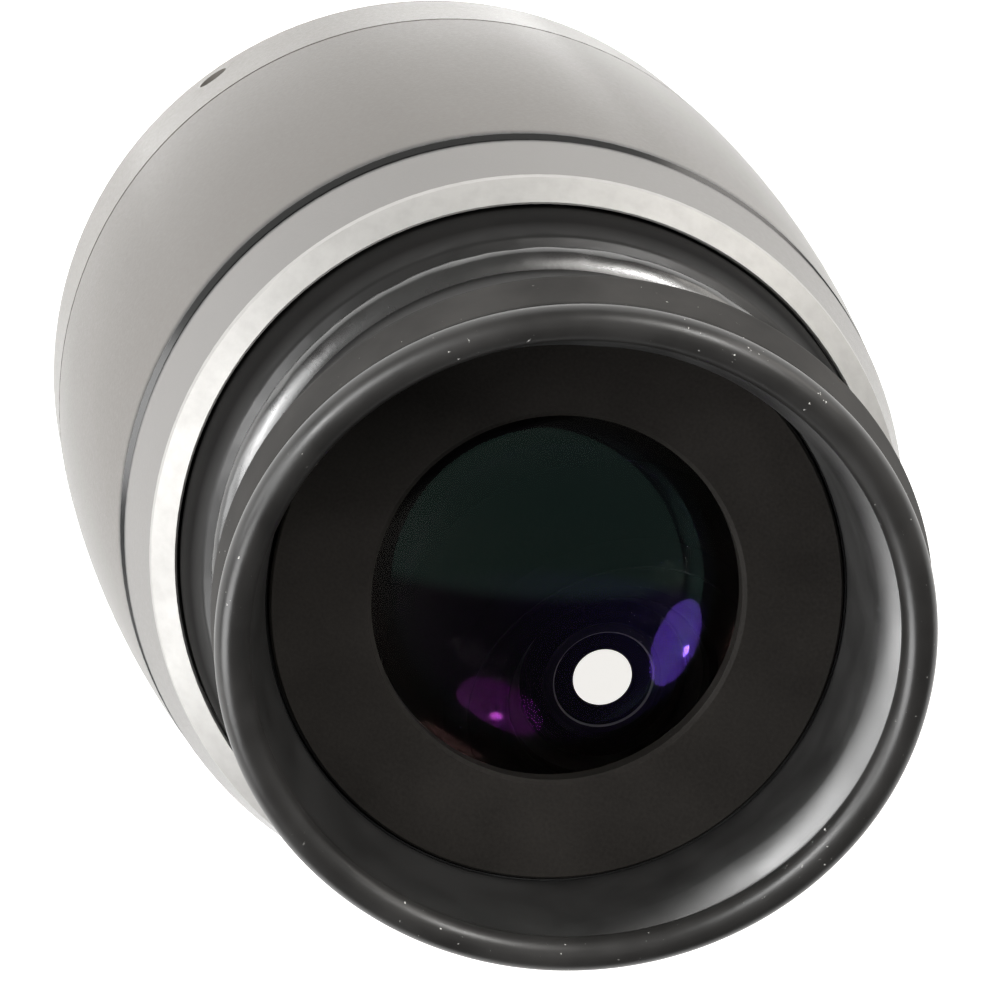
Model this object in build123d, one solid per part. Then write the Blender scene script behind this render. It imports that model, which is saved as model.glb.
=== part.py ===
"""Long-eye-relief telescope eyepiece with a twist-up rubber eyecup.

Millimetres. +Z runs up the optical axis towards the eye, and the origin is at the centre of the barrel's
open end, so the eyepiece stands on its barrel. +Y is the side on which the eyecup's rim stands higher.

A grey collar turns on the body shell. Its helical grooves carry three pins on the eyecup's carrier, and three
keys stop the carrier turning, so the carrier and its rubber cup rise straight up as the collar is twisted.
"""

import os
from math import atan2, cos, degrees, pi, radians, sin, sqrt

from build123d import *

# ---- driving dimensions -------------------------------------------------------------------------------
barrel_r = 15.875          # 1.25 inch push-fit barrel
barrel_length = 30.0
shoulder_height = 8.0      # base plate, from the barrel's shoulder to the rear band
body_length = 80.0         # rear band's lower edge to the face plate
crown_z = 56.0             # where the body is widest
crown_r = 30.25            # the body's greatest radius
crown_arc_r = 437.0        # radius of the shallow arc that the body's outline follows
band_height = 12.0
fine_gap = 0.5             # groove between the band and the shell
joint_gap = 1.3            # groove between the shell and the twist collar
shell_below_face = 24.0
eye_opening_r = 13.0
face_plate_r = 20.1
twist_deg = 110.0          # collar's turn from cup down to cup up
cup_rise = 8.0             # carrier's travel over that turn
cup_lean_deg = 10.8        # slant of the cup's rim about X
running = 0.06             # radial clearance of the turning and sliding fits

# ---- heights worked out from them ---------------------------------------------------------------------
band_z = barrel_length + shoulder_height
face_z = band_z + body_length
band_top = band_z + band_height
shell_z = band_top + fine_gap
shell_top = face_z - shell_below_face
collar_z = shell_top + joint_gap
tube_top = face_z - 1.8

# ---- radii of the nested tubes --------------------------------------------------------------------------
optics_bore_r = 16.8
optics_r = 18.4
guide_r = 20.25
carrier_r = 21.6
collar_bore_r = 21.9
skirt_r = 26.0
shell_bore_r = 27.5
base_spigot_r = 27.3
barrel_spigot_r = 15.0
barrel_bore_r = 13.2
thread_r = 13.93           # minor radius of the M28.5 x 0.6 filter thread
lens_r = 16.7
lens_clearance = 0.05

# ---- twist collar and eyecup ------------------------------------------------------------------------------
bevel_outer_r = 27.1
bevel_inner_r = 25.4
bevel_outer_z = face_z - 14.9
bevel_inner_z = face_z - 13.6
recess_z = face_z - 17.0
pin_r = 1.5
pin_z = face_z - 30.0
key_width = 3.0
key_height = 5.0
key_z = face_z - 29.0      # key's lower face
key_root_r = 19.42         # the keys reach in to here
key_recess = 0.3           # their outer faces lie this far inside the carrier's skin
cup_centre_z = face_z + 8.5


def skin_r(z):
    """The body's outer radius at height z."""
    return crown_r - crown_arc_r + sqrt(crown_arc_r**2 - (z - crown_z) ** 2)


def sag(radius, r):
    """Depth of a spherical surface of the given radius at distance r from the axis."""
    return radius - sqrt(radius**2 - r**2)


def turned(edges):
    """Revolve a closed outline, drawn in the XZ plane as (radius, height), about the Z axis."""
    return revolve(Plane.XZ * make_face(edges), Axis.Z, 360)


def turned_polygon(*points):
    """Revolve straight-sided stock given by its (radius, height) corners."""
    return turned(Polyline(*points, close=True))


def ring(r_in, r_out, z0, z1):
    """A plain ring or tube."""
    return turned_polygon((r_in, z0), (r_out, z0), (r_out, z1), (r_in, z1))


def radial_rod(radius, r_in, r_out, angle, z):
    """A round rod that points away from the axis at the given angle and height."""
    rod = Cylinder(radius, r_out - r_in, align=(Align.CENTER, Align.CENTER, Align.MIN))
    return Rot(0, 0, angle) * Pos(r_in, 0, z) * Rot(0, 90, 0) * rod


def radial_block(width, height, r_in, r_out, angle, z0):
    """A block that points away from the axis, with its lower face at z0."""
    block = Box(r_out - r_in, width, height, align=(Align.MIN, Align.CENTER, Align.MIN))
    return Rot(0, 0, angle) * Pos(r_in, 0, z0) * block


def thirds(first=0.0):
    """Three equally spaced angles."""
    return [first + 120.0 * i for i in range(3)]


pin_angles = thirds(30.0)
key_angles = thirds(90.0)


# ---- barrel end ---------------------------------------------------------------------------------------------
def barrel():
    """Push-fit barrel with a retaining undercut, a filter-thread recess and an upper threaded spigot."""
    undercut_r, undercut_low, undercut_high, slope, edge = 15.2, 15.0, 25.0, 0.675, 0.6
    thread_depth, spigot_top, relief = 5.2, barrel_length + 6.0, 0.8
    return turned_polygon(
        (thread_r + relief, 0), (barrel_r - edge, 0), (barrel_r, edge),
        (barrel_r, undercut_low), (undercut_r, undercut_low + slope),
        (undercut_r, undercut_high - slope), (barrel_r, undercut_high),
        (barrel_r, barrel_length), (barrel_spigot_r, barrel_length), (barrel_spigot_r, spigot_top),
        (barrel_bore_r, spigot_top), (barrel_bore_r, thread_depth + relief),
        (thread_r, thread_depth), (thread_r, relief),
    )


def base_plate():
    """Conical rear plate that joins the barrel, the optics tube and the rear band."""
    flange_r, flange_z = 29.1, band_z - 1.2
    plate = turned_polygon(
        (barrel_spigot_r, barrel_length), (17.6, barrel_length), (18.4, barrel_length + 1.0),
        (flange_r - 0.7, flange_z - 0.4), (flange_r, flange_z + 0.3), (flange_r, band_z),
        (base_spigot_r, band_z), (base_spigot_r, band_z + 6.0), (optics_r, band_z + 6.0),
        (optics_r, band_z + 2.0), (barrel_spigot_r, band_z + 2.0),
    )
    for angle in screw_angles:
        plate -= radial_rod(band_screw_r, base_spigot_r - 1.3, 40, angle, band_screw_z)
    return plate


screw_angles = thirds(150.0)
band_screw_r = 1.25
band_screw_z = band_z + 3.6


def hex_socket(across_flats, r_in, r_out, angle, z):
    """The hexagonal hole in a grub screw's outer end."""
    socket = extrude(RegularPolygon(across_flats / 2, 6, major_radius=False), r_out - r_in)
    return Rot(0, 0, angle) * Pos(r_in, 0, z) * Rot(0, 90, 0) * socket


def rear_band():
    """Band at the body's far end, with a threaded spigot that the shell screws onto."""
    edge, spigot_in, spigot_z, spigot_top = 0.6, 26.4, band_z + 6.2, shell_z + 5.0
    band = turned_polygon(
        (base_spigot_r, band_z), (skin_r(band_z) - edge, band_z), (skin_r(band_z + edge), band_z + edge),
        (skin_r(band_top), band_top), (shell_bore_r, band_top), (shell_bore_r, spigot_top),
        (spigot_in, spigot_top), (spigot_in, spigot_z), (base_spigot_r, spigot_z),
    )
    for angle in screw_angles:
        band -= radial_rod(band_screw_r, 20, 40, angle, band_screw_z)
    return band


def band_set_screws():
    """Three grub screws that lock the band to the base plate."""
    outer, inner, socket_depth = skin_r(band_screw_z) - 0.5, base_spigot_r - 1.3, 1.2
    screws = []
    for angle in screw_angles:
        screw = radial_rod(band_screw_r, inner, outer, angle, band_screw_z)
        screws.append(screw - hex_socket(1.3, outer - socket_depth, outer + 1, angle, band_screw_z))
    return Compound(children=screws)


# ---- body -----------------------------------------------------------------------------------------------------
lip_z = face_z - 31.0      # underside of the shell's inner lip, which the collar's skirt turns in


def body_shell():
    """Long grey shell whose outline is one shallow arc, with an inward lip at its upper end."""
    lip_r, edge = skirt_r + running, 0.35
    middle = (shell_z + shell_top) / 2
    outline = Polyline(
        (skin_r(shell_top) - edge, shell_top), (lip_r, shell_top), (lip_r, lip_z), (shell_bore_r, lip_z),
        (shell_bore_r, shell_z), (skin_r(shell_z), shell_z),
    )
    low, high = (skin_r(shell_z), shell_z), (skin_r(shell_top - edge), shell_top - edge)
    outline += ThreePointArc(low, (skin_r(middle), middle), high)
    outline += Line(high, (skin_r(shell_top) - edge, shell_top))
    return turned(outline)


def optics_tube():
    """Inner tube that holds the lens stack."""
    tube = ring(optics_bore_r, optics_r, band_z + 2.0, tube_top)
    for angle in key_angles:
        tube -= radial_rod(guide_screw_r, 10, 30, angle, guide_screw_z)
    return tube


guide_z = face_z - 44.0
guide_screw_r = 1.0
guide_screw_z = guide_z + 5.0


def guide_tube():
    """Fixed tube that the carrier slides on, with a centring flange and three key slots."""
    flange_height, slot_end_gap, key_seat = 2.5, 0.4, 0.92
    tube = ring(optics_r, guide_r, guide_z, tube_top)
    tube += ring(optics_r, shell_bore_r - 0.1, guide_z, guide_z + flange_height)
    slot_z = key_z - slot_end_gap
    slot_height = key_height + cup_rise + 2 * slot_end_gap
    for angle in key_angles:
        tube -= radial_block(key_width + 0.1, slot_height, guide_r - key_seat, guide_r + 5, angle, slot_z)
        tube -= radial_rod(guide_screw_r, 10, 30, angle, guide_screw_z)
    return tube


def guide_tube_screws():
    """Three grub screws that fix the guide tube to the optics tube."""
    rods = [radial_rod(guide_screw_r, optics_bore_r + 0.3, guide_r, a, guide_screw_z) for a in key_angles]
    return Compound(children=rods)


# ---- lenses: each surface is a sphere, given by its apex height and its radius -----------------------------
eye_top_radius, eye_bottom_radius = 34.0, 46.0
crown_top_radius, cement_radius = 48.0, 38.0
third_top_radius = 50.0
spacer_r = 15.0            # bore of the spacer rings
eye_apex = face_z - 0.95
eye_thickness = 9.25
crown_apex = eye_apex - eye_thickness - 1.6
crown_thickness = 8.0
flint_thickness = 2.5
third_thickness = 6.0
flint_base = crown_apex - crown_thickness - flint_thickness
third_apex = flint_base - 1.5
third_base = third_apex - third_thickness


def lens(r, top_apex, top_radius, bottom_apex, bottom_radius):
    """A turned lens. A positive radius bulges outwards, a negative one is hollow and None is flat."""
    top_edge = top_apex if top_radius is None else top_apex - sag(abs(top_radius), r) * sign(top_radius)
    if bottom_radius is None:
        bottom_edge = bottom_apex
    else:
        bottom_edge = bottom_apex + sag(abs(bottom_radius), r) * sign(bottom_radius)
    half = r / 2
    outline = Line((0, bottom_apex), (0, top_apex))
    outline += Line((r, top_edge), (r, bottom_edge))
    for apex, edge, radius, way in (
        (top_apex, top_edge, top_radius, -1), (bottom_apex, bottom_edge, bottom_radius, 1)
    ):
        if radius is None:
            outline += Line((0, apex), (r, edge))
        else:
            middle = apex + way * sag(abs(radius), half) * sign(radius)
            outline += ThreePointArc((0, apex), (half, middle), (r, edge))
    return turned(outline)


def sign(value):
    """+1 for a positive number and -1 for a negative one."""
    return 1 if value > 0 else -1


def eye_lens():
    """Thick biconvex lens next to the eye."""
    return lens(lens_r, eye_apex, eye_top_radius, eye_apex - eye_thickness, eye_bottom_radius)


def crown_lens():
    """Biconvex half of the cemented pair."""
    return lens(lens_r, crown_apex, crown_top_radius, crown_apex - crown_thickness, cement_radius)


def flint_lens():
    """Hollow half of the cemented pair, with a flat lower face."""
    return lens(lens_r, crown_apex - crown_thickness, -cement_radius, flint_base, None)


def third_lens():
    """Plano-convex lens below the cemented pair."""
    return lens(lens_r, third_apex, third_top_radius, third_base, None)


def spacer_upper():
    """Ring between the eye lens and the cemented pair."""
    low = crown_apex - sag(crown_top_radius, spacer_r) + lens_clearance
    high = eye_apex - eye_thickness + sag(eye_bottom_radius, spacer_r) - lens_clearance
    return ring(spacer_r, optics_bore_r, low, high)


def spacer_lower():
    """Ring between the cemented pair and the third lens."""
    low = third_apex - sag(third_top_radius, spacer_r) + lens_clearance
    return ring(spacer_r, optics_bore_r, low, flint_base)


def stack_retainer():
    """Threaded ring that closes the lens stack from below."""
    return turned_polygon(
        (14.4, third_base), (14.4, third_base - 1.0), (15.2, third_base - 3.0),
        (optics_bore_r, third_base - 3.0), (optics_bore_r, third_base),
    )


seal_r = 15.35
seal_z = eye_apex - sag(eye_top_radius, seal_r) + lens_clearance
seal_height = 0.6


def lens_seal():
    """Flat rubber ring between the eye lens and the face plate."""
    return ring(seal_r, optics_bore_r - lens_clearance, seal_z, seal_z + seal_height)


def face_plate():
    """Black plate around the eye lens, with a threaded skirt that holds the lens down."""
    edge, outer_edge = 0.3, 0.15
    return turned_polygon(
        (eye_opening_r, tube_top), (eye_opening_r, face_z - edge), (eye_opening_r + edge, face_z),
        (face_plate_r - outer_edge, face_z), (face_plate_r, face_z - outer_edge), (face_plate_r, tube_top),
        (optics_bore_r, tube_top), (optics_bore_r, seal_z + seal_height), (seal_r, seal_z + seal_height),
        (seal_r, tube_top),
    )


def stop_ring(bore_r, z, thickness):
    """A blackened stop with a knife edge, pressed into the optics tube."""
    land = 0.3
    return turned_polygon(
        (bore_r, z), (optics_bore_r, z), (optics_bore_r, z + thickness),
        (bore_r + thickness - land, z + thickness), (bore_r, z + land),
    )


# ---- field lens cell in the barrel ------------------------------------------------------------------------------
cell_z = 9.0
cell_bore_r = 9.8
cell_aperture_r = 6.3
cell_lip = 1.2
field_lens_r = cell_bore_r
field_flint_thickness = 2.0
field_crown_thickness = 4.6
field_cement_radius = 24.0
field_top_radius = 60.0
field_low_radius = 34.0
flint_low = cell_z + cell_lip + sag(field_low_radius, field_lens_r)


def field_cell():
    """Tube in the barrel that holds the two field lenses on a narrow lip."""
    cell = turned_polygon(
        (cell_aperture_r, cell_z + 0.3), (cell_aperture_r + 1.5, cell_z), (barrel_bore_r, cell_z),
        (barrel_bore_r, 27.0), (cell_bore_r + 1.6, 27.0), (cell_bore_r, 25.4), (cell_bore_r, cell_z + cell_lip),
        (cell_aperture_r, cell_z + cell_lip),
    )
    return cell


def field_flint():
    """Hollow lens nearest the telescope, resting on the cell's lip."""
    return lens(field_lens_r, flint_low + field_flint_thickness, -field_cement_radius, flint_low, -field_low_radius)


def field_crown():
    """Lens cemented into the hollow of the field flint."""
    low = flint_low + field_flint_thickness
    return lens(field_lens_r, low + field_crown_thickness, -field_top_radius, low, field_cement_radius)


def field_retainer():
    """Threaded ring above the field lenses."""
    low = flint_low + field_flint_thickness + field_crown_thickness + sag(field_top_radius, 8.6) + lens_clearance
    return ring(8.6, cell_bore_r, low + 0.15, low + 2.2)


# ---- twist collar -------------------------------------------------------------------------------------------------
lock_z = lip_z - 3.5
lock_r = 25.0
ring_groove_z = face_z - 27.0
ring_section_r = 0.55


def helical_groove(angle):
    """Groove for one pin, cut from the collar's bore as short straight lengths that follow the helix."""
    steps, width, depth_r, extra = 22, 2 * pin_r + 0.2, 23.7, 0.4
    step_deg = twist_deg / steps
    chord = collar_bore_r * radians(step_deg) + extra
    lead_deg = degrees(atan2(cup_rise / twist_deg, collar_bore_r * pi / 180))
    lengths = []
    for i in range(steps):
        along = (i + 0.5) * step_deg
        height = pin_z + cup_rise * along / twist_deg
        cut = Pos(21.0, 0, height) * Rot(-lead_deg, 0, 0) * Box(
            depth_r - 21.0, chord, width, align=(Align.MIN, Align.CENTER, Align.CENTER))
        lengths.append(Rot(0, 0, angle - along) * cut)
    ends = [(0.0, pin_z), (twist_deg, pin_z + cup_rise)]
    lengths += [radial_rod(width / 2, 21.0, depth_r, angle - turn, z) for turn, z in ends]
    return lengths


def twist_collar():
    """Grey ring above the joint line, with a skirt that turns inside the shell."""
    low_r, edge, recess_r, bevel_seat = skin_r(collar_z), 0.35, bevel_inner_r, bevel_outer_z - 0.6
    collar = turned_polygon(
        (collar_bore_r, lock_z), (lock_r, lock_z), (lock_r, lip_z - 0.15), (skirt_r, lip_z - 0.15),
        (skirt_r, collar_z), (low_r - edge, collar_z), (low_r, collar_z + edge),
        (bevel_outer_r + 0.1, bevel_seat), (recess_r, bevel_seat), (recess_r, recess_z), (collar_bore_r, recess_z),
    )
    collar -= ring(skirt_r - 2 * ring_section_r, skirt_r + 1, ring_groove_z - 0.65, ring_groove_z + 0.65)
    for angle in pin_angles:
        collar -= helical_groove(angle)
    return collar


def bevel_ring():
    """Bright bevelled ring on the collar's eye end."""
    seat = bevel_outer_z - 0.6
    return turned_polygon(
        (bevel_inner_r, seat), (bevel_outer_r + 0.1, seat), (bevel_outer_r, bevel_outer_z),
        (bevel_inner_r + 0.15, bevel_inner_z), (bevel_inner_r, bevel_inner_z - 0.1),
    )


def collar_lock_ring():
    """Ring screwed on the collar's skirt below the lip, so that the collar can't lift off."""
    return ring(lock_r, skirt_r + 1.2, lock_z, lip_z - 0.15)


def collar_friction_ring():
    """O-ring in the collar's skirt that damps the twist."""
    section = Pos(skirt_r - ring_section_r, ring_groove_z) * Circle(ring_section_r)
    return revolve(Plane.XZ * section, Axis.Z, 360)


# ---- eyecup ---------------------------------------------------------------------------------------------------------
carrier_z = face_z - 33.0
carrier_top = face_z - 0.7
cup_base_z = face_z - 15.4
flange_r = 25.0


def eyecup_carrier():
    """Sleeve that slides on the guide tube and carries the rubber cup, the pins and the keys."""
    carrier = ring(guide_r + running, carrier_r, carrier_z, carrier_top)
    carrier += ring(carrier_r - 0.5, flange_r, cup_base_z - 1.2, cup_base_z)
    for angle in pin_angles:
        carrier -= radial_rod(pin_r, 10, 40, angle, pin_z)
    for angle in key_angles:
        carrier -= radial_block(key_width, key_height, 15, 40, angle, key_z)
    return carrier


def follower_pins():
    """Three pins that run in the collar's helical grooves."""
    return Compound(children=[radial_rod(pin_r, 20.6, 23.4, angle, pin_z) for angle in pin_angles])


def guide_keys():
    """Three keys that run in the guide tube's slots and keep the cup from turning."""
    top = carrier_r - key_recess
    keys = [radial_block(key_width, key_height, key_root_r, top, a, key_z) for a in key_angles]
    return Compound(children=keys)


def cup_plane(local_z):
    """A plane of the slanted cup, local_z above the cup's centre along its own axis."""
    return Plane.XY * Pos(0, 0, cup_centre_z) * Rot(cup_lean_deg, 0, 0) * Pos(0, 0, local_z)


def slanted_loft(low_r, high_r, local_z):
    """Solid between a level circle at the face plate and a circle on the slanted rim."""
    low = Pos(0, 0, face_z) * Circle(low_r)
    high = Pos(0, 0, cup_centre_z) * Rot(cup_lean_deg, 0, 0) * Pos(0, 0, local_z) * Circle(high_r)
    return loft([low, high], ruled=True)


def cup_skirt():
    """Level lower part of the rubber: base, bell-shaped skirt, fold, glossy roll and waist."""
    crease, waist_z, neck_r = (23.06, face_z - 8.4), face_z - 2.4, 21.95
    inner_top = carrier_top
    outline = Polyline((carrier_r, cup_base_z), (25.15, cup_base_z), (25.15, face_z - 13.7))
    outline += ThreePointArc((25.15, face_z - 13.7), (24.65, face_z - 10.7), crease)
    outline += ThreePointArc(crease, (23.65, face_z - 5.8), (22.6, face_z - 3.0))
    outline += Polyline(
        (22.6, face_z - 3.0), (neck_r, waist_z), (neck_r, face_z), (20.4, face_z), (20.4, inner_top),
        (carrier_r, inner_top), (carrier_r, cup_base_z),
    )
    return turned(outline)


def cup_rim():
    """Slanted upper part of the rubber: overhanging wall, fine undercut and rolled rim, on the cup's own axis."""
    roll_r, roll_z, roll = 23.35, 2.5, 1.25
    diagonal = roll * sin(radians(45))
    under_roll, crest, inner = (roll_r + 0.75, roll_z - 1.0), (roll_r, roll_z + roll), (roll_r - roll, roll_z)
    wall_low = (24.8, -2.5)
    outline = Polyline(inner, (22.3, 2.2), (21.9, 0.3), (23.1, 0.3), (23.3, -2.5))
    outline += ThreePointArc((23.3, -2.5), (24.1, -3.0), wall_low)
    outline += Polyline(wall_low, (24.3, 1.2), under_roll)
    outline += ThreePointArc(under_roll, (roll_r + roll, roll_z), crest)
    outline += ThreePointArc(crest, (roll_r - diagonal, roll_z + diagonal), inner)
    return Pos(0, 0, cup_centre_z) * Rot(cup_lean_deg, 0, 0) * turned(outline)


def rubber_eyecup():
    """One soft moulding: level skirt below, slanted cup above and a smooth hollow inside."""
    wall = slanted_loft(21.95, 23.9, 2.2)
    hollow = slanted_loft(20.4, 22.3, 2.2)
    return cup_skirt() + wall + cup_rim() - hollow


nodes = {
    "barrel": barrel,
    "base_plate": base_plate,
    "rear_band": rear_band,
    "band_set_screws": band_set_screws,
    "body_shell": body_shell,
    "optics_tube": optics_tube,
    "guide_tube": guide_tube,
    "guide_tube_screws": guide_tube_screws,
    "face_plate": face_plate,
    "lens_seal": lens_seal,
    "eye_lens": eye_lens,
    "spacer_upper": spacer_upper,
    "crown_lens": crown_lens,
    "flint_lens": flint_lens,
    "spacer_lower": spacer_lower,
    "third_lens": third_lens,
    "stack_retainer": stack_retainer,
    "upper_baffle": lambda: stop_ring(12.0, band_z + 40.0, 1.2),
    "field_stop": lambda: stop_ring(9.6, band_z + 24.0, 1.5),
    "lower_baffle": lambda: stop_ring(10.5, band_z + 8.0, 1.2),
    "field_cell": field_cell,
    "field_flint": field_flint,
    "field_crown": field_crown,
    "field_retainer": field_retainer,
    "twist_collar": twist_collar,
    "bevel_ring": bevel_ring,
    "collar_lock_ring": collar_lock_ring,
    "collar_friction_ring": collar_friction_ring,
    "eyecup_carrier": eyecup_carrier,
    "follower_pins": follower_pins,
    "guide_keys": guide_keys,
    "rubber_eyecup": rubber_eyecup,
}

os.makedirs("parts", exist_ok=True)
for name, make in nodes.items():
    export_step(make(), f"parts/{name}.step")
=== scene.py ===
"""Looks of the telescope eyepiece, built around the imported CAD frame.

The scene is in metres, and sizes given here in millimetres say so or are multiplied by MM. +Z is the optical
axis towards the eye, and the origin is the centre of the barrel's open end. Heights and radii are read from
the frame where it has them. The cup's section, the lens curves and a few widths repeat the CAD's.
"""

from math import atan2, cos, radians, sin, sqrt, tau

import bpy
from mathutils import Matrix, Vector, noise


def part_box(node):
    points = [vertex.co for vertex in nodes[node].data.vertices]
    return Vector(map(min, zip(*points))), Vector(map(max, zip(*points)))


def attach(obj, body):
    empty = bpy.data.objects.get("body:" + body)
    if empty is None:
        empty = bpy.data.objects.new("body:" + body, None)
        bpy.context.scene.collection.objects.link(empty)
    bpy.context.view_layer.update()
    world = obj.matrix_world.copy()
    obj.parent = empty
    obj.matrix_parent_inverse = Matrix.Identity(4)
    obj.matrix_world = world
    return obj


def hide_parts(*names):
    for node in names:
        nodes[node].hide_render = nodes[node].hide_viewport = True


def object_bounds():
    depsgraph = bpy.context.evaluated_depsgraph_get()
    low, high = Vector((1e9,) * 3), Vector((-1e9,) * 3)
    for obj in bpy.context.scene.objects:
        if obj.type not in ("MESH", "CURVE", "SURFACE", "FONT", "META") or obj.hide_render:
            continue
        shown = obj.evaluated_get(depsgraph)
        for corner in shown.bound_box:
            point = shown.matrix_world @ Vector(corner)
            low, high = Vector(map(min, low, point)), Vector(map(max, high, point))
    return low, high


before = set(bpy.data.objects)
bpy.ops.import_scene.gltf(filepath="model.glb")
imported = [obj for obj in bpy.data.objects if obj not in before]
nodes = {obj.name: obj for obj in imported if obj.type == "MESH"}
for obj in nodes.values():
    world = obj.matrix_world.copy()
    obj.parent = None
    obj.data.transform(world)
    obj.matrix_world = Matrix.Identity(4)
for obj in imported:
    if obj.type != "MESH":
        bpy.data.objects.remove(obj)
cad_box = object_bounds()
MM = 0.001


# ---- places read from the frame -----------------------------------------------------------------------
def low_z(node):
    """Height of the node's lowest point, in millimetres."""
    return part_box(node)[0].z / MM


def high_z(node):
    """Height of the node's highest point, in millimetres."""
    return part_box(node)[1].z / MM


def outer_r(node):
    """Greatest radius of a turned node, in millimetres."""
    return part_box(node)[1].x / MM


def direction(azimuth, elevation):
    """Unit vector at those angles in degrees, azimuth counted from +X towards +Y."""
    a, e = radians(azimuth), radians(elevation)
    return Vector((cos(e) * cos(a), cos(e) * sin(a), sin(e)))


face_z = high_z("face_plate")


# ---- material helpers ---------------------------------------------------------------------------------
class Look:
    """A procedural material on one Principled shader. Patterns are laid out in the part's own metres."""

    def __init__(self, name, **sockets):
        self.material = bpy.data.materials.new(name)
        self.material.use_nodes = True
        self.tree = self.material.node_tree
        self.tree.nodes.clear()
        self.shader = self.add("ShaderNodeBsdfPrincipled")
        output = self.add("ShaderNodeOutputMaterial")
        self.tree.links.new(self.shader.outputs["BSDF"], output.inputs["Surface"])
        self.place = self.add("ShaderNodeTexCoord").outputs["Object"]
        for socket, value in sockets.items():
            self.shader.inputs[socket.replace("_", " ")].default_value = value

    def add(self, kind, **values):
        """A new node. Values name its inputs, or its own properties where it has no such input."""
        node = self.tree.nodes.new(kind)
        for name, value in values.items():
            socket = name.replace("_", " ")
            if hasattr(node, name):
                setattr(node, name, value)
            elif isinstance(value, bpy.types.NodeSocket):
                self.tree.links.new(value, node.inputs[socket])
            else:
                node.inputs[socket].default_value = value
        return node

    def stretch(self, x, y, z):
        """The place, scaled along each axis."""
        return self.add("ShaderNodeMapping", vector_type="POINT", Vector=self.place,
                        Scale=(x, y, z)).outputs["Vector"]

    def grain(self, size_mm, detail=2.0, place=None):
        """Noise whose features are about size_mm across, from 0 to 1."""
        return self.add("ShaderNodeTexNoise", Vector=place or self.place, Scale=1 / (size_mm * MM),
                        Detail=detail).outputs["Fac"]

    def ramp(self, fac, *stops):
        """Colours at the given positions of fac."""
        node = self.add("ShaderNodeValToRGB", Fac=fac)
        ramp = node.color_ramp
        while len(ramp.elements) < len(stops):
            ramp.elements.new(1.0)
        for element, (position, colour) in zip(ramp.elements, stops):
            element.position = position
            element.color = (*colour, 1.0)
        return node.outputs["Color"]

    def spread(self, fac, low, high, start=0.0, end=1.0):
        """fac from start to end, laid out from low to high."""
        node = self.add("ShaderNodeMapRange", Value=fac)
        for name, value in (("From Min", start), ("From Max", end), ("To Min", low), ("To Max", high)):
            node.inputs[name].default_value = value
        return node.outputs["Result"]

    def calc(self, operation, a, b):
        """A Math node."""
        node = self.add("ShaderNodeMath", operation=operation)
        for socket, value in zip(node.inputs, (a, b)):
            if isinstance(value, bpy.types.NodeSocket):
                self.tree.links.new(value, socket)
            else:
                socket.default_value = value
        return node.outputs["Value"]

    def mix(self, fac, a, b):
        """Colour a where fac is 0 and b where it is 1."""
        node = self.add("ShaderNodeMix", data_type="RGBA")
        for socket, value in ((node.inputs[0], fac), (node.inputs[6], a), (node.inputs[7], b)):
            if isinstance(value, bpy.types.NodeSocket):
                self.tree.links.new(value, socket)
            else:
                socket.default_value = (*value, 1.0)
        return node.outputs[2]

    def bump(self, height, depth_mm, strength):
        """Fine relief, chained after any relief set before."""
        node = self.add("ShaderNodeBump", Height=height, Strength=strength, Distance=depth_mm * MM)
        normal = self.shader.inputs["Normal"]
        if normal.is_linked:
            self.tree.links.new(normal.links[0].from_socket, node.inputs["Normal"])
        self.tree.links.new(node.outputs["Normal"], normal)

    def set(self, socket, value):
        """Links a pattern to one of the shader's sockets."""
        self.tree.links.new(value, self.shader.inputs[socket])

    def radius(self):
        """Distance from the optical axis, in metres."""
        node = self.add("ShaderNodeVectorMath", operation="LENGTH")
        self.tree.links.new(self.stretch(1, 1, 0), node.inputs[0])
        return node.outputs["Value"]

    def heights(self):
        """The place's own Z, in metres."""
        return self.add("ShaderNodeSeparateXYZ", Vector=self.place).outputs["Z"]


def tone(value, warm=0.0):
    """A linear grey, warmer for a positive second number."""
    return (value * (1 + warm), value, value * (1 - warm))


# ---- metals -------------------------------------------------------------------------------------------
def satin_paint(name, light, dark, warm, rough, ior, painted_shade_above=None, painted_shade_below=None):
    """Bead-blasted and painted shell: fine bright grain over slow cloudiness.

    The colour darkens up to the height painted_shade_above or down to painted_shade_below, and is black past
    it, as painted shade in the joint line between shell and collar. The upper black is glossy.
    """
    fade_above, fade_below = 1.1, 0.45          # millimetres over which the painted shade darkens the paint towards the joint
    look = Look(name, Roughness=rough, IOR=ior, Sheen_Weight=0.85, Sheen_Roughness=0.16)
    clouds = look.grain(14, 3)
    fine = look.grain(0.35, 4)
    blend = look.calc("ADD", look.calc("MULTIPLY", clouds, 0.35), look.calc("MULTIPLY", fine, 0.65))
    colour = look.ramp(blend, (0.3, tone(dark, warm)), (0.7, tone(light, warm)))
    # painted shade: towards the joint line the colour is blended to black
    for edge_z, start_z, glossy in ((painted_shade_above, -fade_above, True), (painted_shade_below, fade_below, False)):
        if edge_z:
            black = look.spread(look.heights(), 0.0, 1.0, (edge_z + start_z) * MM, edge_z * MM)
            colour = look.mix(black, colour, tone(0.01))
            if glossy:
                look.set("Coat Weight", look.calc("GREATER_THAN", black, 0.98))
                look.shader.inputs["Coat Roughness"].default_value = 0.2
    look.set("Base Color", colour)
    look.set("Roughness", look.spread(fine, rough - 0.06, rough + 0.06, 0.3, 0.7))
    look.bump(look.grain(0.16, 2), 0.012, 0.5)
    return look.material


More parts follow.
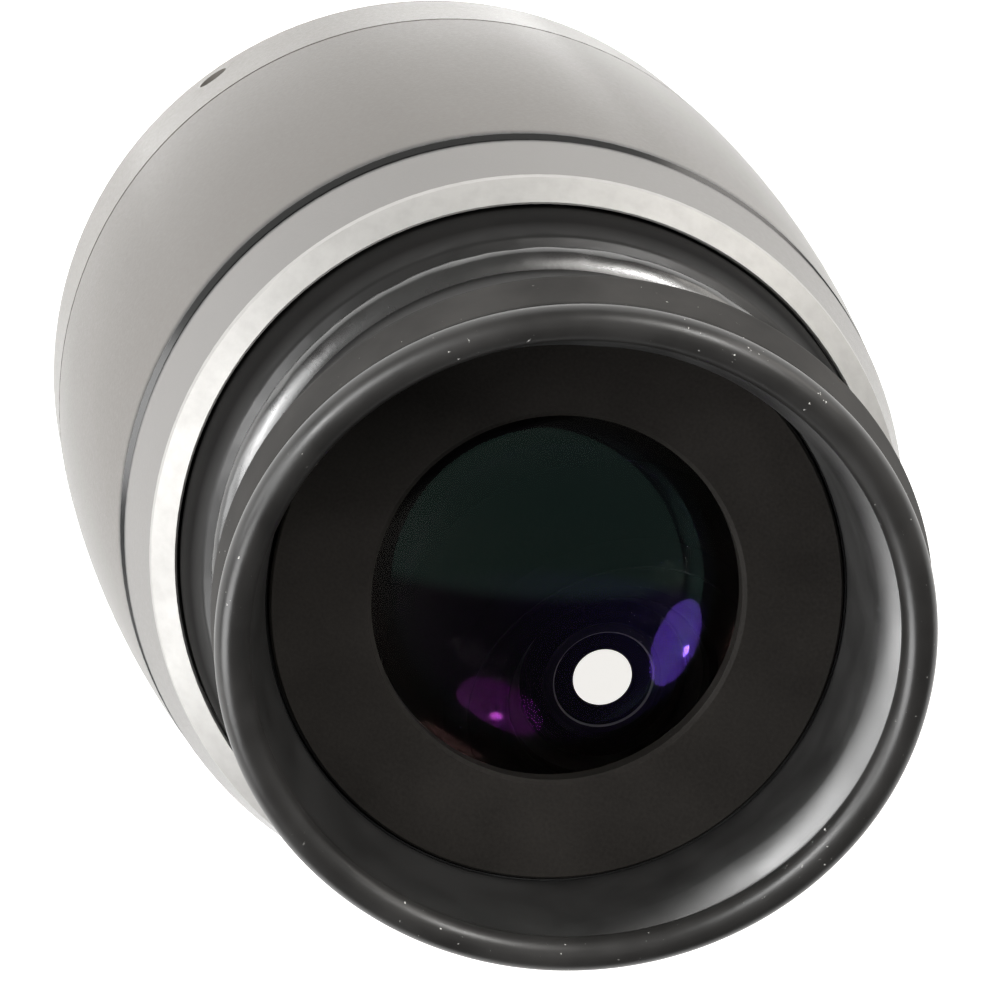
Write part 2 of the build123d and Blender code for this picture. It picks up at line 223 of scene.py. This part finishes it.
def turned_metal(name, colour, dark, rough, ring_mm=0.12, depth_mm=0.004, metal=1.0, inside_r=None):
    """Lathe-turned metal: rings about the axis, with fine mottling."""
    look = Look(name, Metallic=metal, Roughness=rough)
    mottle = look.grain(0.9, 4)
    look.set("Base Color", look.ramp(mottle, (0.25, dark), (0.6, colour)))
    look.set("Roughness", look.spread(look.grain(3, 3), rough - 0.05, rough + 0.07, 0.3, 0.7))
    rings = look.grain(ring_mm, 1, look.stretch(0.04, 0.04, 1.0))
    look.bump(rings, depth_mm, 0.6)
    if inside_r:
        blackened_inside(look, inside_r, metal)
    return look.material


def blackened_inside(look, inside_r, metal):
    """Turns the metal matt black nearer the axis than inside_r millimetres."""
    matt = 0.65          # added to the roughness inside
    outside = look.calc("GREATER_THAN", look.radius(), inside_r * MM)
    colour, roughness = (look.shader.inputs[s].links[0].from_socket for s in ("Base Color", "Roughness"))
    look.set("Base Color", look.mix(outside, tone(0.006), colour))
    look.set("Metallic", look.calc("MULTIPLY", outside, metal))
    added = look.calc("ADD", look.calc("MULTIPLY", outside, -matt), matt)
    look.set("Roughness", look.calc("ADD", roughness, added))


def matt_black(name, level, rough, warm=0.0, ior=1.4, grain_mm=0.25, depth_mm=0.015):
    """Black anodised or blackened metal with a dry, faintly grained surface."""
    look = Look(name, Roughness=rough, IOR=ior)
    blend = look.calc("ADD", look.calc("MULTIPLY", look.grain(6, 3), 0.5),
                      look.calc("MULTIPLY", look.grain(grain_mm, 3), 0.5))
    look.set("Base Color", look.ramp(blend, (0.3, tone(level * 0.7, warm)), (0.7, tone(level * 1.35, warm))))
    look.set("Roughness", look.spread(look.grain(4, 2), rough - 0.05, rough + 0.05, 0.3, 0.7))
    look.bump(look.grain(grain_mm, 2), depth_mm, 0.4)
    return look.material


edge_round, joint_gap = 0.35, 1.3          # the joint line's rounded rims and its width, as in the CAD
shell_edge_z = high_z("body_shell") - edge_round
collar_edge_z = high_z("body_shell") + joint_gap + edge_round
barrel_inside_r = 15.05                    # what lies nearer the axis is the barrel's blackened inside
# the shell's top and the collar's foot carry painted shade towards their joint line
body_satin = satin_paint("body_satin_grey", 0.115, 0.10, 0.065, 0.45, 1.12, painted_shade_above=shell_edge_z)
collar_satin = satin_paint("collar_satin_grey", 0.165, 0.145, 0.03, 0.42, 1.14, painted_shade_below=collar_edge_z)
band_satin = satin_paint("band_satin_grey", 0.11, 0.096, 0.08, 0.4, 1.15)
bevel_bright = turned_metal("bevel_bright_aluminium", (0.305, 0.299, 0.289), (0.275, 0.27, 0.26), 0.5,
                            metal=0.5)
barrel_chrome = turned_metal("barrel_chrome", (0.24, 0.245, 0.255), (0.225, 0.23, 0.24), 0.2, ring_mm=0.3,
                             depth_mm=0.002, inside_r=barrel_inside_r)
rear_black = matt_black("rear_black", 0.022, 0.42)
face_black = matt_black("face_black", 0.011, 0.5, 0.10, ior=1.15)
inner_black = matt_black("inner_black", 0.005, 0.8, ior=1.08)
anodised_black = matt_black("anodised_black", 0.02, 0.4)
brass = turned_metal("brass", (0.78, 0.58, 0.26), (0.62, 0.45, 0.18), 0.28)
steel = turned_metal("blackened_steel", (0.28, 0.28, 0.29), (0.18, 0.18, 0.19), 0.32)
seal_rubber = matt_black("seal_rubber", 0.012, 0.6)


# ---- rubber -------------------------------------------------------------------------------------------
cup_lean = radians(10.8)          # slant of the cup's rim about X, as in the CAD
cup_centre = face_z + 8.5         # millimetres


def rubber_look(name, level, rough, ior, dusty=0.0, relief=0.25, polished_r=None):
    """Soft black rubber with a skin-like grain. Dust gathers as pale specks on the dusty share of it.

    Handling has polished it nearer the axis than polished_r millimetres.
    """
    look = Look(name, Roughness=rough, IOR=ior)
    wear = look.grain(5, 4)
    black = look.ramp(wear, (0.3, tone(level * 0.75, 0.04)), (0.7, tone(level * 1.3, 0.04)))
    roughness = look.spread(wear, rough - 0.05, rough + 0.06, 0.3, 0.7)
    if dusty:
        specks = look.spread(look.grain(0.42, 6), 0.0, 1.0, 0.74 - dusty, 0.79 - dusty)
        patches = look.spread(look.grain(7, 2), 0.0, 1.0, 0.45, 0.6)
        specks = look.calc("MULTIPLY", specks, patches)
        black = look.mix(specks, black, (0.5, 0.49, 0.47))
        roughness = look.calc("ADD", roughness, look.calc("MULTIPLY", specks, 0.3))
    if polished_r:
        fade = 0.9          # millimetres
        polish = look.spread(look.radius(), 0.6, 0.0, (polished_r - fade) * MM, polished_r * MM)
        look.set("Coat Weight", polish)
        look.shader.inputs["Coat Roughness"].default_value = 0.36
    look.set("Base Color", black)
    look.set("Roughness", roughness)
    look.bump(look.grain(0.3, 3), 0.02, relief)
    look.bump(look.grain(1.6, 3), 0.05, relief)
    return look.material


rubber_skirt = rubber_look("rubber_matt_skirt", 0.005, 0.55, 1.08, polished_r=24.7)
rubber_roll = rubber_look("rubber_glossy_roll", 0.005, 0.26, 1.72, relief=0.2)
rubber_wall = rubber_look("rubber_dusty_wall", 0.027, 0.62, 1.1, dusty=0.02)
rubber_rim = rubber_look("rubber_rolled_rim", 0.013, 0.33, 1.42, dusty=0.05)
rubber_bowl = rubber_look("rubber_satin_bowl", 0.006, 0.46, 1.92)


# ---- glass --------------------------------------------------------------------------------------------
def coated_glass(name, ior, coating, far_coating=None):
    """Clear glass. The coating's colour scales what the surface reflects.

    It may drift to a second colour across the lens, along the azimuth drift_towards.
    """
    drift_towards, drift_width = 46, 8          # degrees, millimetres
    look = Look(name, Roughness=0.0, IOR=ior)
    shader = look.shader.inputs
    shader["Base Color"].default_value = (0.998, 0.997, 0.993, 1)
    shader["Transmission Weight"].default_value = 1.0
    shader["Specular Tint"].default_value = (*coating, 1)
    if far_coating:
        across = look.add("ShaderNodeVectorMath", operation="DOT_PRODUCT")
        look.tree.links.new(look.place, across.inputs[0])
        across.inputs[1].default_value = direction(drift_towards, 0)
        half = drift_width / 2 * MM
        side = look.spread(across.outputs["Value"], 0.0, 1.0, -half, half)
        look.set("Specular Tint", look.mix(side, far_coating, coating))
    return look.material


lens_edge = matt_black("blackened_lens_edge", 0.003, 0.8, ior=1.05)


# ---- mesh helpers -------------------------------------------------------------------------------------
def finish_mesh(name, verts, faces, body, node, materials, sharp_deg=35):
    """Makes the piece from millimetre points, smooth-shaded, and puts it in the CAD node's place."""
    mesh = bpy.data.meshes.new(name)
    mesh.from_pydata([Vector(v) * MM for v in verts], [], faces)
    mesh.validate()
    mesh.shade_smooth()
    mesh.set_sharp_from_angle(angle=radians(sharp_deg))
    for look in materials:
        mesh.materials.append(look)
    piece = bpy.data.objects.new(name, mesh)
    bpy.context.scene.collection.objects.link(piece)
    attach(piece, body)
    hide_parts(node)
    return piece


def swept_faces(rings, steps, closed):
    """Quads between neighbouring rings of equal length, each ring running round the axis."""
    faces = []
    last = rings if closed else rings - 1
    for i in range(last):
        j = (i + 1) % rings
        for k in range(steps):
            n = (k + 1) % steps
            faces.append((i * steps + k, j * steps + k, j * steps + n, i * steps + n))
    return faces


def arc(start, middle, end, count):
    """Points on the circle through three (radius, height) points, without the last."""
    (ax, ay), (bx, by), (cx, cy) = start, middle, end
    d = 2 * (ax * (by - cy) + bx * (cy - ay) + cx * (ay - by))
    ux = ((ax**2 + ay**2) * (by - cy) + (bx**2 + by**2) * (cy - ay) + (cx**2 + cy**2) * (ay - by)) / d
    uy = ((ax**2 + ay**2) * (cx - bx) + (bx**2 + by**2) * (ax - cx) + (cx**2 + cy**2) * (bx - ax)) / d
    a0, a1, a2 = (atan2(y - uy, x - ux) for x, y in (start, middle, end))
    turn = (a2 - a0) % tau
    if (a1 - a0) % tau > turn:
        turn -= tau
    radius = sqrt((ax - ux) ** 2 + (ay - uy) ** 2)
    return [(ux + radius * cos(a0 + turn * i / count), uy + radius * sin(a0 + turn * i / count))
            for i in range(count)]


def run(start, end, count):
    """Evenly spaced points from start up to, but not at, end."""
    return [(start[0] + (end[0] - start[0]) * i / count, start[1] + (end[1] - start[1]) * i / count)
            for i in range(count)]


def sag(radius, r):
    """Depth of a sphere of that radius at distance r from the axis. No radius is a flat."""
    if radius is None:
        return 0.0
    return (abs(radius) - sqrt(radius**2 - r**2)) * (1 if radius > 0 else -1)


# ---- lenses -------------------------------------------------------------------------------------------
cement_film = 0.004               # millimetres by which cemented faces lap, so that no air lies between them


def lens(node, ior, surfaces, rings=40, steps=160):
    """One polished lens with a blackened edge. Its upper and lower surfaces are (apex, radius, coating) each.

    A positive radius bulges outwards, and None is flat.
    """
    r = outer_r(node)
    (top_apex, top_radius, _), (bottom_apex, bottom_radius, _) = surfaces
    verts = [(0, 0, top_apex)]
    for i in range(1, rings + 1):
        s = r * i / rings
        verts += [(s * cos(tau * k / steps), s * sin(tau * k / steps), top_apex - sag(top_radius, s))
                  for k in range(steps)]
    for i in range(rings, 0, -1):
        s = r * i / rings
        verts += [(s * cos(tau * k / steps), s * sin(tau * k / steps), bottom_apex + sag(bottom_radius, s))
                  for k in range(steps)]
    verts.append((0, 0, bottom_apex))
    last = len(verts) - 1
    end = last - steps
    faces = [(0, 1 + k, 1 + (k + 1) % steps) for k in range(steps)]
    faces += [tuple(1 + v for v in quad) for quad in swept_faces(2 * rings, steps, closed=False)]
    faces += [(last, end + (k + 1) % steps, end + k) for k in range(steps)]
    looks = [coated_glass(f"glass_{node}_{side}", ior, *coatings)
             for side, (_, _, coatings) in zip(("upper", "lower"), surfaces)]
    piece = finish_mesh("polished_" + node, verts, faces, "body", node, (*looks, lens_edge))
    for i, face in enumerate(piece.data.polygons):
        band = (i - steps) // steps
        face.material_index = 0 if band < rings - 1 else 2 if band == rings - 1 else 1


# what each coating reflects, as a share of bare glass
green = ((0.28, 0.54, 0.46),)
violet_to_magenta = ((0.10, 0.045, 0.42), (0.062, 0.0015, 0.082))
faint = ((0.004, 0.004, 0.004),)
brown = ((0.02, 0.009, 0.01),)
cemented = ((0.001, 0.001, 0.001),)

eye_top, eye_low = high_z("eye_lens"), low_z("eye_lens")
crown_top, crown_low = high_z("crown_lens"), low_z("crown_lens")
flint_low = low_z("flint_lens")
third_top, third_low = high_z("third_lens"), low_z("third_lens")
field_base = low_z("field_crown")
field_flint_thickness, field_crown_thickness = 2.0, 4.6
lens("eye_lens", 1.52, ((eye_top, 34.0, green), (eye_low, 46.0, violet_to_magenta)))
lens("crown_lens", 1.62, ((crown_top, 48.0, faint), (crown_low - cement_film, 38.0, cemented)))
lens("flint_lens", 1.76, ((crown_low, -38.0, cemented), (flint_low, None, brown)))
lens("third_lens", 1.62, ((third_top, 50.0, faint), (third_low, None, faint)))
field_top, field_low = field_base + field_crown_thickness, field_base - field_flint_thickness
lens("field_flint", 1.62, ((field_base, -24.0, cemented), (field_low, -34.0, faint)))
lens("field_crown", 1.52, ((field_top, -60.0, faint), (field_base - cement_film, 24.0, cemented)))


# ---- eyecup -------------------------------------------------------------------------------------------
SKIRT, ROLL, WALL, RIM, BOWL = range(5)
crease_z, roll_end_z = face_z - 8.75, face_z - 6.65


def zoned(zone, points):
    """The points, each with its kind of surface."""
    return [(*point, zone) for point in points]


def cup_outline():
    """The rubber's section as (radius, height, kind): level outside, slanted rim and level inside."""
    base, flare, shelf = (25.15, face_z - 15.4), (25.15, face_z - 13.7), (23.9, face_z - 9.25)
    crease, shoulder, roll_end = (23.06, crease_z), (23.1, face_z - 7.25), (22.05, roll_end_z)
    neck = (21.95, face_z)
    inside_r, bore_r, top = 20.4, 21.6, face_z - 0.7
    level = zoned(SKIRT, run((bore_r, base[1]), base, 6) + run(base, flare, 6))
    level += zoned(SKIRT, arc(flare, (24.8, face_z - 10.9), shelf, 18) + run(shelf, crease, 8))
    level += zoned(ROLL, arc(crease, (23.4, face_z - 7.8), shoulder, 14))
    level += zoned(ROLL, arc(shoulder, (22.6, face_z - 6.9), roll_end, 16))
    level += zoned(SKIRT, run(roll_end, neck, 4) + [neck])
    gap, hem_in, hem_out = (23.2, -1.3), (23.3, -2.5), (24.8, -2.5)
    wall_top, under_roll, crest = (24.3, 1.2), (24.05, 1.45), (23.35, 3.75)
    inner, lip = (22.1, 2.5), (22.25, 2.15)
    slant = zoned(SKIRT, run(gap, hem_in, 5))
    slant += zoned(WALL, arc(hem_in, (24.1, -3.0), hem_out, 10) + run(hem_out, wall_top, 16))
    slant += zoned(RIM, run(wall_top, under_roll, 4) + arc(under_roll, (24.6, 2.5), crest, 18))
    slant += zoned(RIM, arc(crest, (22.466, 3.384), inner, 10) + run(inner, lip, 3))
    slant.append((*lip, BOWL))
    hollow = zoned(BOWL, [(inside_r, face_z), (inside_r, top)]) + [(bore_r, top, SKIRT)]
    return level, slant, hollow


def on_rim(r, z, angle):
    """The point at that radius and height on the ray at angle, leaning with the rim."""
    flat = Vector((r * cos(angle), r * sin(angle), z))
    return Matrix.Rotation(cup_lean, 3, "X") @ flat + Vector((0, 0, cup_centre))


def rubber_cup(steps=540, wall_rings=12):
    """The eyecup with its folded roll: wrinkles run round it, and its crease wanders."""
    level, slant, hollow = cup_outline()
    # the bowl below the lip, as (share of the way in, millimetres down)
    flare = arc((0.0, 0.0), (0.48, 0.61), (0.88, 1.47), 16) + arc((0.88, 1.47), (0.97, 2.1), (1.0, 3.2), 10)
    gap_rings, straight_to = 6, radians(-50)
    columns = []
    for k in range(steps):
        angle = tau * k / steps
        out = Vector((cos(angle), sin(angle), 0))
        column = []
        for r, z, _ in level:
            along = max(0.0, min(1.0, (z - crease_z) / (roll_end_z - crease_z)))
            above = 4 * along * (1 - along)
            near_crease = max(0.0, 1 - abs(z - crease_z) / 2.2)
            slow = noise.noise(out * 2.2 + Vector((0, 0, z * 0.25)))
            ripple = noise.noise(out * 9 + Vector((0, 0, z * 1.3)))
            crinkle = noise.noise(out * 26 + Vector((0, 0, z * 1.1)))
            r += above * (0.06 * slow + 0.04 * ripple + 0.02 * crinkle) - near_crease * 0.10 * abs(ripple)
            column.append(out * r + Vector((0, 0, z)))
        neck, gap = column[-1], on_rim(*slant[0][:2], angle)
        column += [neck.lerp(gap, i / gap_rings) for i in range(1, gap_rings)]
        column += [on_rim(r, z, angle) for r, z, _ in slant]
        lip, foot = column[-1], out * hollow[0][0] + Vector((0, 0, hollow[0][1]))
        inward = (lip.xy.length - foot.xy.length) * 0.97
        open_side = max(0.0, min(1.0, 0.5 + 1.6 * sin(angle - straight_to)))
        for share, drop in flare:
            share = share * open_side + drop / (lip.z - foot.z) * (1 - open_side)
            column.append(lip - out * inward * share - Vector((0, 0, drop)))
        throat = column[-1]
        column += [throat.lerp(foot, i / wall_rings) for i in range(1, wall_rings)]
        column += [out * r + Vector((0, 0, z)) for r, z, _ in hollow]
        columns.append(column)
    kinds = [p[2] for p in level] + [SKIRT] * (gap_rings - 1) + [p[2] for p in slant]
    kinds += [BOWL] * (len(flare) + wall_rings - 1) + [p[2] for p in hollow]
    rings = len(kinds)
    verts = [columns[k][i] for i in range(rings) for k in range(steps)]
    faces = [tuple(reversed(f)) for f in swept_faces(rings, steps, closed=True)]
    looks = (rubber_skirt, rubber_roll, rubber_wall, rubber_rim, rubber_bowl)
    piece = finish_mesh("eyecup_soft_rubber", verts, faces, "eyecup", "rubber_eyecup", looks,
                        sharp_deg=40)
    for i, face in enumerate(piece.data.polygons):
        face.material_index = kinds[i // steps]


rubber_cup()


# ---- CAD nodes that keep their shape ------------------------------------------------------------------
looks = {
    "barrel": barrel_chrome,
    "base_plate": rear_black,
    "rear_band": band_satin,
    "band_set_screws": steel,
    "body_shell": body_satin,
    "optics_tube": inner_black,
    "guide_tube": anodised_black,
    "guide_tube_screws": steel,
    "face_plate": face_black,
    "lens_seal": seal_rubber,
    "spacer_upper": inner_black,
    "spacer_lower": inner_black,
    "stack_retainer": inner_black,
    "upper_baffle": inner_black,
    "field_stop": inner_black,
    "lower_baffle": inner_black,
    "field_cell": inner_black,
    "field_retainer": anodised_black,
    "twist_collar": collar_satin,
    "bevel_ring": bevel_bright,
    "collar_lock_ring": anodised_black,
    "collar_friction_ring": seal_rubber,
    "eyecup_carrier": anodised_black,
    "follower_pins": brass,
    "guide_keys": brass,
}
for node, look in looks.items():
    for material_slot in nodes[node].material_slots:
        material_slot.material = look


# ---- stage: light table, soft boxes and camera --------------------------------------------------------
def stage_floor():
    """A plain pale floor that glows a little, as a light table does."""
    look = Look("pale_floor", Roughness=0.6)
    look.shader.inputs["Base Color"].default_value = (0.42, 0.42, 0.415, 1)
    look.shader.inputs["Emission Color"].default_value = (1.0, 0.995, 0.985, 1)
    look.shader.inputs["Emission Strength"].default_value = 0.9
    size = 3.0
    mesh = bpy.data.meshes.new("floor")
    corners = [(-size, -size, 0), (size, -size, 0), (size, size, 0), (-size, size, 0)]
    mesh.from_pydata(corners, [], [(0, 1, 2, 3)])
    mesh.materials.append(look.material)
    floor = bpy.data.objects.new("floor", mesh)
    floor.location.z = cad_box[0].z - 0.0002
    bpy.context.scene.collection.objects.link(floor)


def soft_box(name, azimuth, elevation, distance, width, height, power, colour=(1, 1, 1), seen_by="all"):
    """An oval area light that faces the middle of the eyepiece's eye end.

    Seen by "gloss" it is mirrored by surfaces but not seen through glass. Seen by "nothing" it only lights.
    """
    data = bpy.data.lights.new(name, "AREA")
    data.shape = "ELLIPSE"
    data.size, data.size_y = width, height
    data.energy = power
    data.color = colour
    light = bpy.data.objects.new(name, data)
    out = direction(azimuth, elevation)
    light.location = Vector((0, 0, face_z * MM)) + out * distance
    light.rotation_euler = out.to_track_quat("Z", "Y").to_euler()
    light.visible_transmission = seen_by == "all"
    light.visible_glossy = seen_by != "nothing"
    bpy.context.scene.collection.objects.link(light)


def studio_world():
    """Dim room: a pale wall and ceiling on one side of the eyepiece and a darker side opposite."""
    wall, dark = (0.385, 0.385, 0.37), (0.03, 0.03, 0.032)
    pale_side = direction(110, 17)
    world = bpy.data.worlds.new("studio")
    bpy.context.scene.world = world
    world.use_nodes = True
    tree = world.node_tree
    tree.nodes.clear()
    place = tree.nodes.new("ShaderNodeTexCoord").outputs["Generated"]
    side = tree.nodes.new("ShaderNodeVectorMath")
    side.operation = "DOT_PRODUCT"
    side.inputs[1].default_value = pale_side
    tree.links.new(place, side.inputs[0])
    ramp = tree.nodes.new("ShaderNodeValToRGB")
    tree.links.new(side.outputs["Value"], ramp.inputs[0])
    ramp.color_ramp.elements[0].position = 0.03
    ramp.color_ramp.elements[0].color = (*dark, 1)
    ramp.color_ramp.elements[1].position = 0.09
    ramp.color_ramp.elements[1].color = (*wall, 1)
    background = tree.nodes.new("ShaderNodeBackground")
    tree.links.new(ramp.outputs["Color"], background.inputs["Color"])
    output = tree.nodes.new("ShaderNodeOutputWorld")
    tree.links.new(background.outputs[0], output.inputs["Surface"])


def eye_side_camera():
    """Long-lens camera over the eye end, rolled so that the barrel recedes to the upper left."""
    azimuth, elevation, roll, distance = 144.0, 75.358, 150.18, 0.48343
    aim = Vector((-0.00672, 0.00482, face_z * MM))
    data = bpy.data.cameras.new("camera")
    data.sensor_width = 36.0
    data.lens = 252.0
    data.clip_start = 0.01
    camera = bpy.data.objects.new("camera", data)
    out = direction(azimuth, elevation)
    turn = out.to_track_quat("Z", "Y").to_matrix() @ Matrix.Rotation(radians(roll), 3, "Z")
    camera.matrix_world = Matrix.Translation(aim + out * distance) @ turn.to_4x4()
    bpy.context.scene.collection.objects.link(camera)
    bpy.context.scene.camera = camera


stage_floor()
studio_world()
soft_box("left_box", 187, 41, 1.0, 0.60, 0.54, 7.0)
soft_box("left_bulb", 185, 35.5, 0.98, 0.08, 0.08, 2.6)
soft_box("right_box", 81, 43, 1.0, 0.60, 0.54, 5.2, (1.0, 0.975, 0.94))
soft_box("right_bulb", 82, 40.5, 0.98, 0.08, 0.08, 2.4)
soft_box("near_box", 234, 28, 1.0, 0.50, 0.72, 10.5, seen_by="gloss")
soft_box("low_left_box", 197, 11, 1.0, 0.50, 0.46, 3.4, seen_by="gloss")
soft_box("low_right_box", 66, 12, 1.0, 0.50, 0.46, 2.5, (1.0, 0.96, 0.90), seen_by="gloss")
soft_box("far_box", 45, 30, 1.0, 0.50, 0.40, 7.0, seen_by="nothing")
soft_box("ceiling_fill", 144, 80, 1.3, 1.6, 1.6, 1.8, seen_by="nothing")
eye_side_camera()
scene = bpy.context.scene
scene.view_settings.view_transform = "Standard"
scene.cycles.max_bounces = 24
scene.cycles.transmission_bounces = 24
scene.cycles.sample_clamp_indirect = 400          # the default of 10 hides the bulbs mirrored in the lenses
